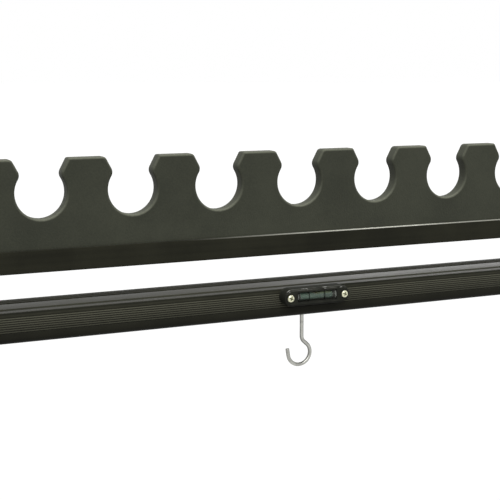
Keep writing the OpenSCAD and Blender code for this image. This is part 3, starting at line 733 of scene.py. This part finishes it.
# A tube round that line: point = line + r (n cos a + Y sin a). On the thread r falls by
# cut (1 - cos(2 pi s / pitch - a)) / 2, and over the tip's last burr it falls by burr as a quarter circle.
def wireHook():
    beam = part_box("main_beam")[0][2] / mm
    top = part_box("wire_hook")[1][2] / mm
    line = hookLine(top, beam)
    step = np.linalg.norm(np.diff(line, axis=0), axis=1)
    run = np.concatenate([[0], np.cumsum(step)])
    along = np.gradient(line, run, axis=0)
    along /= np.linalg.norm(along, axis=1, keepdims=True)
    turn = np.linspace(0, 2 * np.pi, 40, endpoint=False)
    threadEnd = top - beam + hook["below"]
    groove = hook["cut"] * (1 - np.cos(2 * np.pi * run[:, None] / hook["pitch"] - turn)) / 2
    onThread = soft(threadEnd - 0.2 - run, 0.3)[:, None]
    left = np.clip((run[-1] - run) / hook["burr"], 0, 1)
    wire = hook["wire"] - hook["burr"] * (1 - np.sqrt(1 - (1 - left) ** 2))[:, None]
    radius = onThread * (hook["thread"] - groove) + (1 - onThread) * wire
    across = np.stack([along[:, 1], 0 * run, -along[:, 0]], axis=-1)
    ring = np.cos(turn)[:, None] * across[:, None] + np.sin(turn)[:, None] * np.array([0, 1, 0])
    middle = np.stack([line[:, 0] + hook["x"], 0 * run, line[:, 1]], axis=-1)
    # painted shade: dark streaks drawn along the wire's sides, wandering slowly round it, fainter on the
    # loop and gone at one place on it
    wander = hook["wander"] * np.sin(run / hook["wanderLong"])[:, None]
    around = turn - np.radians(hook["streak"]) - wander
    streak = np.clip(0.45 - 0.4 * np.cos(2 * around) - 0.25 * np.cos(around + 0.6), 0, 1)
    wornAndLit = hook["wornAndLit"] * soft(run - run[-1] + hook["fadeFrom"], hook["fadeLong"])
    rubbedAndLit = (run[-1] - hook["rubbedAndLit"] - run) / hook["clearLong"]
    streak = streak * (1 - wornAndLit - (1 - hook["wornAndLit"]) * np.exp(-rubbedAndLit**2))[:, None]
    shell = gridShell(middle[:, None] + radius[..., None] * ring)
    piece("wire_hook_bent", [(*shell, streak)], steel, "hook", ["wire_hook"])


# Star knobs

knob = {
    "radius": 9, "high": 9, "lobes": 6, "valley": 0.15, "round": 1.6, "dish": 4.6, "deep": 0.9,
    "screw": 2.5,
}


# A star grip: its radius is R (1 - valley + valley cos(lobes a)), its rims are rounded, and its top has
# a dished cap. The whole of it is scaled, and a screw or a boss runs below it.
def knobShell(at, axes, below, scale=1.0):
    size, high, rim = knob["radius"], knob["high"], knob["round"]
    lower = arc((size - rim, rim), rim, -90, 0, 7)
    upper = arc((size - rim * 1.4, high - rim * 1.4), rim * 1.4, 0, 90, 9)
    rest = knob["dish"]
    dish = [[rest + 0.5, high], [rest + 0.1, high - 0.12], [rest, high - 0.4]]
    cap = np.linspace(rest - 0.3, 0.01, 8)
    cap = np.stack([cap, high - knob["deep"] + 0.5 * (1 - (cap / rest) ** 2)], axis=-1)
    lobed = np.vstack([lower, upper])
    stem = knob["screw"]
    start = [[0.01, -below], [stem - 0.3, -below], [stem, 0.3 - below], [stem, 0]]
    if below <= 0:
        start = [[0.01, 0]]
    profile = np.vstack([start, lobed, dish, cap]) * scale
    turn = np.linspace(0, 2 * np.pi, 96, endpoint=False)
    waist = 1 - knob["valley"] + knob["valley"] * np.cos(knob["lobes"] * turn)
    depth = np.zeros(len(profile))
    depth[len(start):len(start) + len(lobed)] = 1
    return turned(profile, at, axes, 96, swell=1 + depth[:, None] * (waist - 1))


def starKnobs():
    for side in sides:
        low, high = inMillimetres(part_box(f"fold_knob_{side}"))
        middle = (low + high) / 2
        at = (middle[0], high[1], middle[2])
        shell = knobShell(at, frontAxes, 0, (high[1] - low[1]) / knob["high"])
        name = f"fold_knob_{side}"
        piece(f"{name}_star", [shell], nylon, name, [name])
    for leg in legs:
        side = leg.split("_")[1]
        low, high = inMillimetres(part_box(f"clamp_knob_{leg}"))
        middle = (low + high) / 2
        outer, inner = (high[0], low[0]) if side == "right" else (low[0], high[0])
        sign = np.sign(outer)
        at = (outer - sign * knob["high"], middle[1], middle[2])
        shell = knobShell(at, outAxes[side], abs(outer - inner) - knob["high"])
        name = f"clamp_knob_{leg}"
        piece(f"{name}_star", [shell], nylon, name, [name])


# Vial: its liquid, its bubble and its marks

vialMark = {"gap": 12, "wide": 0.6, "radius": 3.4, "thick": 0.06}
vialLiquid = {
    "radius": 2.6, "round": 0.4, "bubble": 8.5, "spread": 58, "deep": 1.1, "film": 0.05, "rings": 12,
}


# The liquid is a round bar that clears the vial's wall. The bubble lies on its top: in rings of share p,
# a point is at p L cos a along the vial and at p S sin a degrees round it; below it thins as 1 - p p.
def vialContents():
    low, high = inMillimetres(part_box("level_liquid"))
    middle = (low + high) / 2
    size, rim, half = vialLiquid["radius"], vialLiquid["round"], (high[0] - low[0]) / 2
    start = arc((size - rim, rim - half), rim, -90, 0, 6)
    end = arc((size - rim, half - rim), rim, 0, 90, 6)
    profile = np.vstack([[[0.01, -half]], start, end, [[0.01, half]]])
    shell = turned(profile, middle, outAxes["right"])
    piece("level_liquid_bar", [shell], liquid, "root", ["level_liquid"])
    rings = vialLiquid["rings"]
    share = np.linspace(0.02, 1, rings)
    turn = np.linspace(0, 2 * np.pi, 48, endpoint=False)
    share = np.concatenate([share, share[-2::-1]])[:, None]
    under = np.arange(len(share))[:, None] < rings - 1
    radius = size + vialLiquid["film"] - under * vialLiquid["deep"] * (1 - share**2)
    along = share * vialLiquid["bubble"] / 2 * np.cos(turn)
    lean = np.radians(vialLiquid["spread"]) * share * np.sin(turn)
    points = np.stack([along, radius * np.sin(lean), radius * np.cos(lean)], axis=-1)
    shell = gridShell(middle + points)
    piece("level_bubble_flat", [shell], bubbleAir, "root", ["level_bubble"])


# Two black rings printed round the vial
def vialMarks():
    low, high = inMillimetres(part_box("level_vial"))
    middle = (low + high) / 2
    shells = []
    for side in (-1, 1):
        outer, half = vialMark["radius"], vialMark["wide"] / 2
        inner = outer - vialMark["thick"]
        profile = np.array([[inner, -half], [outer, -half], [outer, half], [inner, half], [inner, -half]])
        at = (middle[0] + side * vialMark["gap"] / 2, middle[1], middle[2])
        points, faces = turned(profile, at, outAxes["right"])
        # a ring has no caps
        shells.append((points, [face for face in faces if len(face) == 4]))
    piece("vial_marks", shells, ink, "root")


levelScrews()
bracketScrews()
wireHook()
starKnobs()
vialContents()
vialMarks()
print("screws, hook, knobs and marks made")


# CAD nodes keep their shape and get a finish; a bevel softens their edges

# weld joins points that are closer, flat joins faces that bend less, and bend is the least angle of an
# edge that is rounded or stays sharp, both in radians
dressing = {"weld": 0.005, "flat": 0.005, "segments": 3, "bend": 0.6}


# Set Shade Smooth on faces, and sharp again on edges over the least angle
def smoothGroup():
    group = bpy.data.node_groups.new("smoothByAngle", "GeometryNodeTree")
    group.interface.new_socket("Geometry", in_out="INPUT", socket_type="NodeSocketGeometry")
    group.interface.new_socket("Geometry", in_out="OUTPUT", socket_type="NodeSocketGeometry")
    start = group.nodes.new("NodeGroupInput")
    end = group.nodes.new("NodeGroupOutput")
    faces = group.nodes.new("GeometryNodeSetShadeSmooth")
    edges = group.nodes.new("GeometryNodeSetShadeSmooth")
    edges.domain = "EDGE"
    edges.inputs["Shade Smooth"].default_value = False
    bend = group.nodes.new("GeometryNodeInputMeshEdgeAngle")
    over = group.nodes.new("FunctionNodeCompare")
    over.inputs["B"].default_value = dressing["bend"]
    group.links.new(start.outputs[0], faces.inputs["Geometry"])
    group.links.new(faces.outputs[0], edges.inputs["Geometry"])
    group.links.new(bend.outputs["Unsigned Angle"], over.inputs["A"])
    group.links.new(over.outputs[0], edges.inputs["Selection"])
    group.links.new(edges.outputs[0], end.inputs[0])
    return group


smoothByAngle = smoothGroup()


# Welds the node's loose triangles, joins flat ones, rounds the edges by width and smooths the rest
def dressNode(name, finish, width=0.0, edge=None):
    node = nodes[name]
    node.data.materials.clear()
    node.data.materials.append(finish)
    weld = node.modifiers.new("weld", "WELD")
    weld.merge_threshold = dressing["weld"] * mm
    if width:
        flat = node.modifiers.new("flat", "DECIMATE")
        flat.decimate_type = "DISSOLVE"
        flat.angle_limit = dressing["flat"]
        bevel = node.modifiers.new("bevel", "BEVEL")
        bevel.width = width * mm
        bevel.segments = dressing["segments"]
        bevel.limit_method = "ANGLE"
        bevel.angle_limit = dressing["bend"]
        bevel.use_clamp_overlap = True
        if edge:
            node.data.materials.append(edge)
            bevel.material = 1
    smooth = node.modifiers.new("smooth", "NODES")
    smooth.node_group = smoothByAngle


dressNode("comb_rail", railMetal)
dressNode("main_beam", beamMetal)
dressNode("hook_bush", nylon)
dressNode("hook_nut", steel)
for side in sides:
    dressNode(f"end_bracket_{side}", nylon, 0.7, nylonEdge)
    dressNode(f"leg_head_{side}", nylon, 0.6, nylonEdge)
for leg in legs:
    dressNode(f"outer_tube_{leg}", tubeMetal)
    dressNode(f"inner_tube_{leg}", bareMetal)
    dressNode(f"clamp_collar_{leg}", nylon, 0.5, nylonEdge)
    dressNode(f"hinge_plug_{leg}", nylon, 0.4, nylonEdge)
    dressNode(f"foot_{leg}", rubber, 0.7)
    dressNode(f"foot_pin_{leg}", steel, 0.2)
dressNode("pivot_bolts", steel, 0.3)
dressNode("level_housing", gloss, 0.3, glossEdge)
dressNode("level_vial", vialGlass)
dressNode("level_end_plugs", gloss)
print("CAD nodes dressed")


# Stage, light and camera

# radius is in metres, and under is how far the floor lies below the feet
stage = {"radius": 40.0, "under": 0.2, "floor": 0.3, "glow": 0.7, "ambient": 0.4}
# Each lamp is a broad sun: where it stands as seen from the object, its width in degrees, its strength
suns = {
    "front": {"from": (-0.3, -0.75, 0.6), "wide": 45, "strength": 1.8},
    "top": {"from": (-0.1, -0.15, 1.0), "wide": 40, "strength": 0.9},
    "right": {"from": (0.6, -0.2, 0.8), "wide": 8, "strength": 0.6},
    "back": {"from": (0.53, 0.81, 0.24), "wide": 14, "strength": 0.11},
}
view = {
    "at": (-0.3543, -0.7093, 0.4519), "yaw": 24.134, "pitch": -9.087, "roll": -0.107,
    "lens": 80.72, "sensor": 36.0,
}


# 1 for a ray from the camera, off metal or through glass, and 0 for any other
def seenRay(tree):
    path = tree.nodes.new("ShaderNodeLightPath")
    total = path.outputs["Is Camera Ray"]
    for name in ("Is Glossy Ray", "Is Transmission Ray"):
        add = tree.nodes.new("ShaderNodeMath")
        add.use_clamp = True
        tree.links.new(total, add.inputs[0])
        tree.links.new(path.outputs[name], add.inputs[1])
        total = add.outputs[0]
    return total


# White where it is seen, and softer as light
def paleWorld():
    world = bpy.data.worlds.new("pale")
    bpy.context.scene.world = world
    world.use_nodes = True
    tree = world.node_tree
    tree.nodes.clear()
    strength = tree.nodes.new("ShaderNodeMapRange")
    strength.inputs["To Min"].default_value = stage["ambient"]
    strength.inputs["To Max"].default_value = 1.0
    tree.links.new(seenRay(tree), strength.inputs["Value"])
    light = tree.nodes.new("ShaderNodeBackground")
    light.inputs["Color"].default_value = (1, 1, 1, 1)
    tree.links.new(strength.outputs[0], light.inputs["Strength"])
    end = tree.nodes.new("ShaderNodeOutputWorld")
    tree.links.new(light.outputs[0], end.inputs["Surface"])


# A round floor of matt paper, with a faint glow where it is seen so that it meets the white behind it
def paleFloor():
    turn = np.linspace(0, 2 * np.pi, 96, endpoint=False)
    rim = np.stack([np.cos(turn), np.sin(turn), 0 * turn], axis=-1) * stage["radius"]
    mesh = bpy.data.meshes.new("floor")
    mesh.from_pydata(rim, [], [list(range(96))])
    floor = bpy.data.objects.new("floor", mesh)
    bpy.context.scene.collection.objects.link(floor)
    floor.location.z = -stage["under"] * mm
    made = Finish("pale_floor")
    patch = made.noise(made.place(), 0.8, 2.0)
    shades = [tuple([stage["floor"] * share] * 3 + [1]) for share in (0.99, 1.01)]
    base = made.mix(patch, *shades)
    glow = Wire(made, seenRay(made.tree)) * stage["glow"]
    sockets = {
        "Base Color": base, "Roughness": 0.9, "Specular IOR Level": 0.1,
        "Emission Color": (1, 1, 1, 1), "Emission Strength": glow,
    }
    mesh.materials.append(made.surface(sockets))


def sunLamp(name, sun):
    data = bpy.data.lights.new(name, "SUN")
    data.angle = np.radians(sun["wide"])
    data.energy = sun["strength"]
    lamp = bpy.data.objects.new(name, data)
    bpy.context.scene.collection.objects.link(lamp)
    lamp.rotation_euler = (-Vector(sun["from"])).to_track_quat("-Z", "Y").to_euler()


# Yaw turns from +Y towards +X, pitch is up from level, roll turns the picture
def placeCamera():
    yaw, pitch, roll = np.radians([view["yaw"], view["pitch"], view["roll"]])
    ahead = Vector((np.sin(yaw) * np.cos(pitch), np.cos(yaw) * np.cos(pitch), np.sin(pitch)))
    right = Vector((np.cos(yaw), -np.sin(yaw), 0))
    up = right.cross(ahead)
    rightRolled = right * np.cos(roll) + up * np.sin(roll)
    upRolled = up * np.cos(roll) - right * np.sin(roll)
    data = bpy.data.cameras.new("camera")
    data.lens = view["lens"]
    data.sensor_width = view["sensor"]
    camera = bpy.data.objects.new("camera", data)
    bpy.context.scene.collection.objects.link(camera)
    facing = Matrix((rightRolled, upRolled, -ahead)).transposed().to_4x4()
    camera.matrix_world = Matrix.Translation(view["at"]) @ facing
    bpy.context.scene.camera = camera


paleWorld()
paleFloor()
for name, sun in suns.items():
    sunLamp(name, sun)
placeCamera()
bpy.context.scene.view_settings.view_transform = "Standard"
print("stage made")
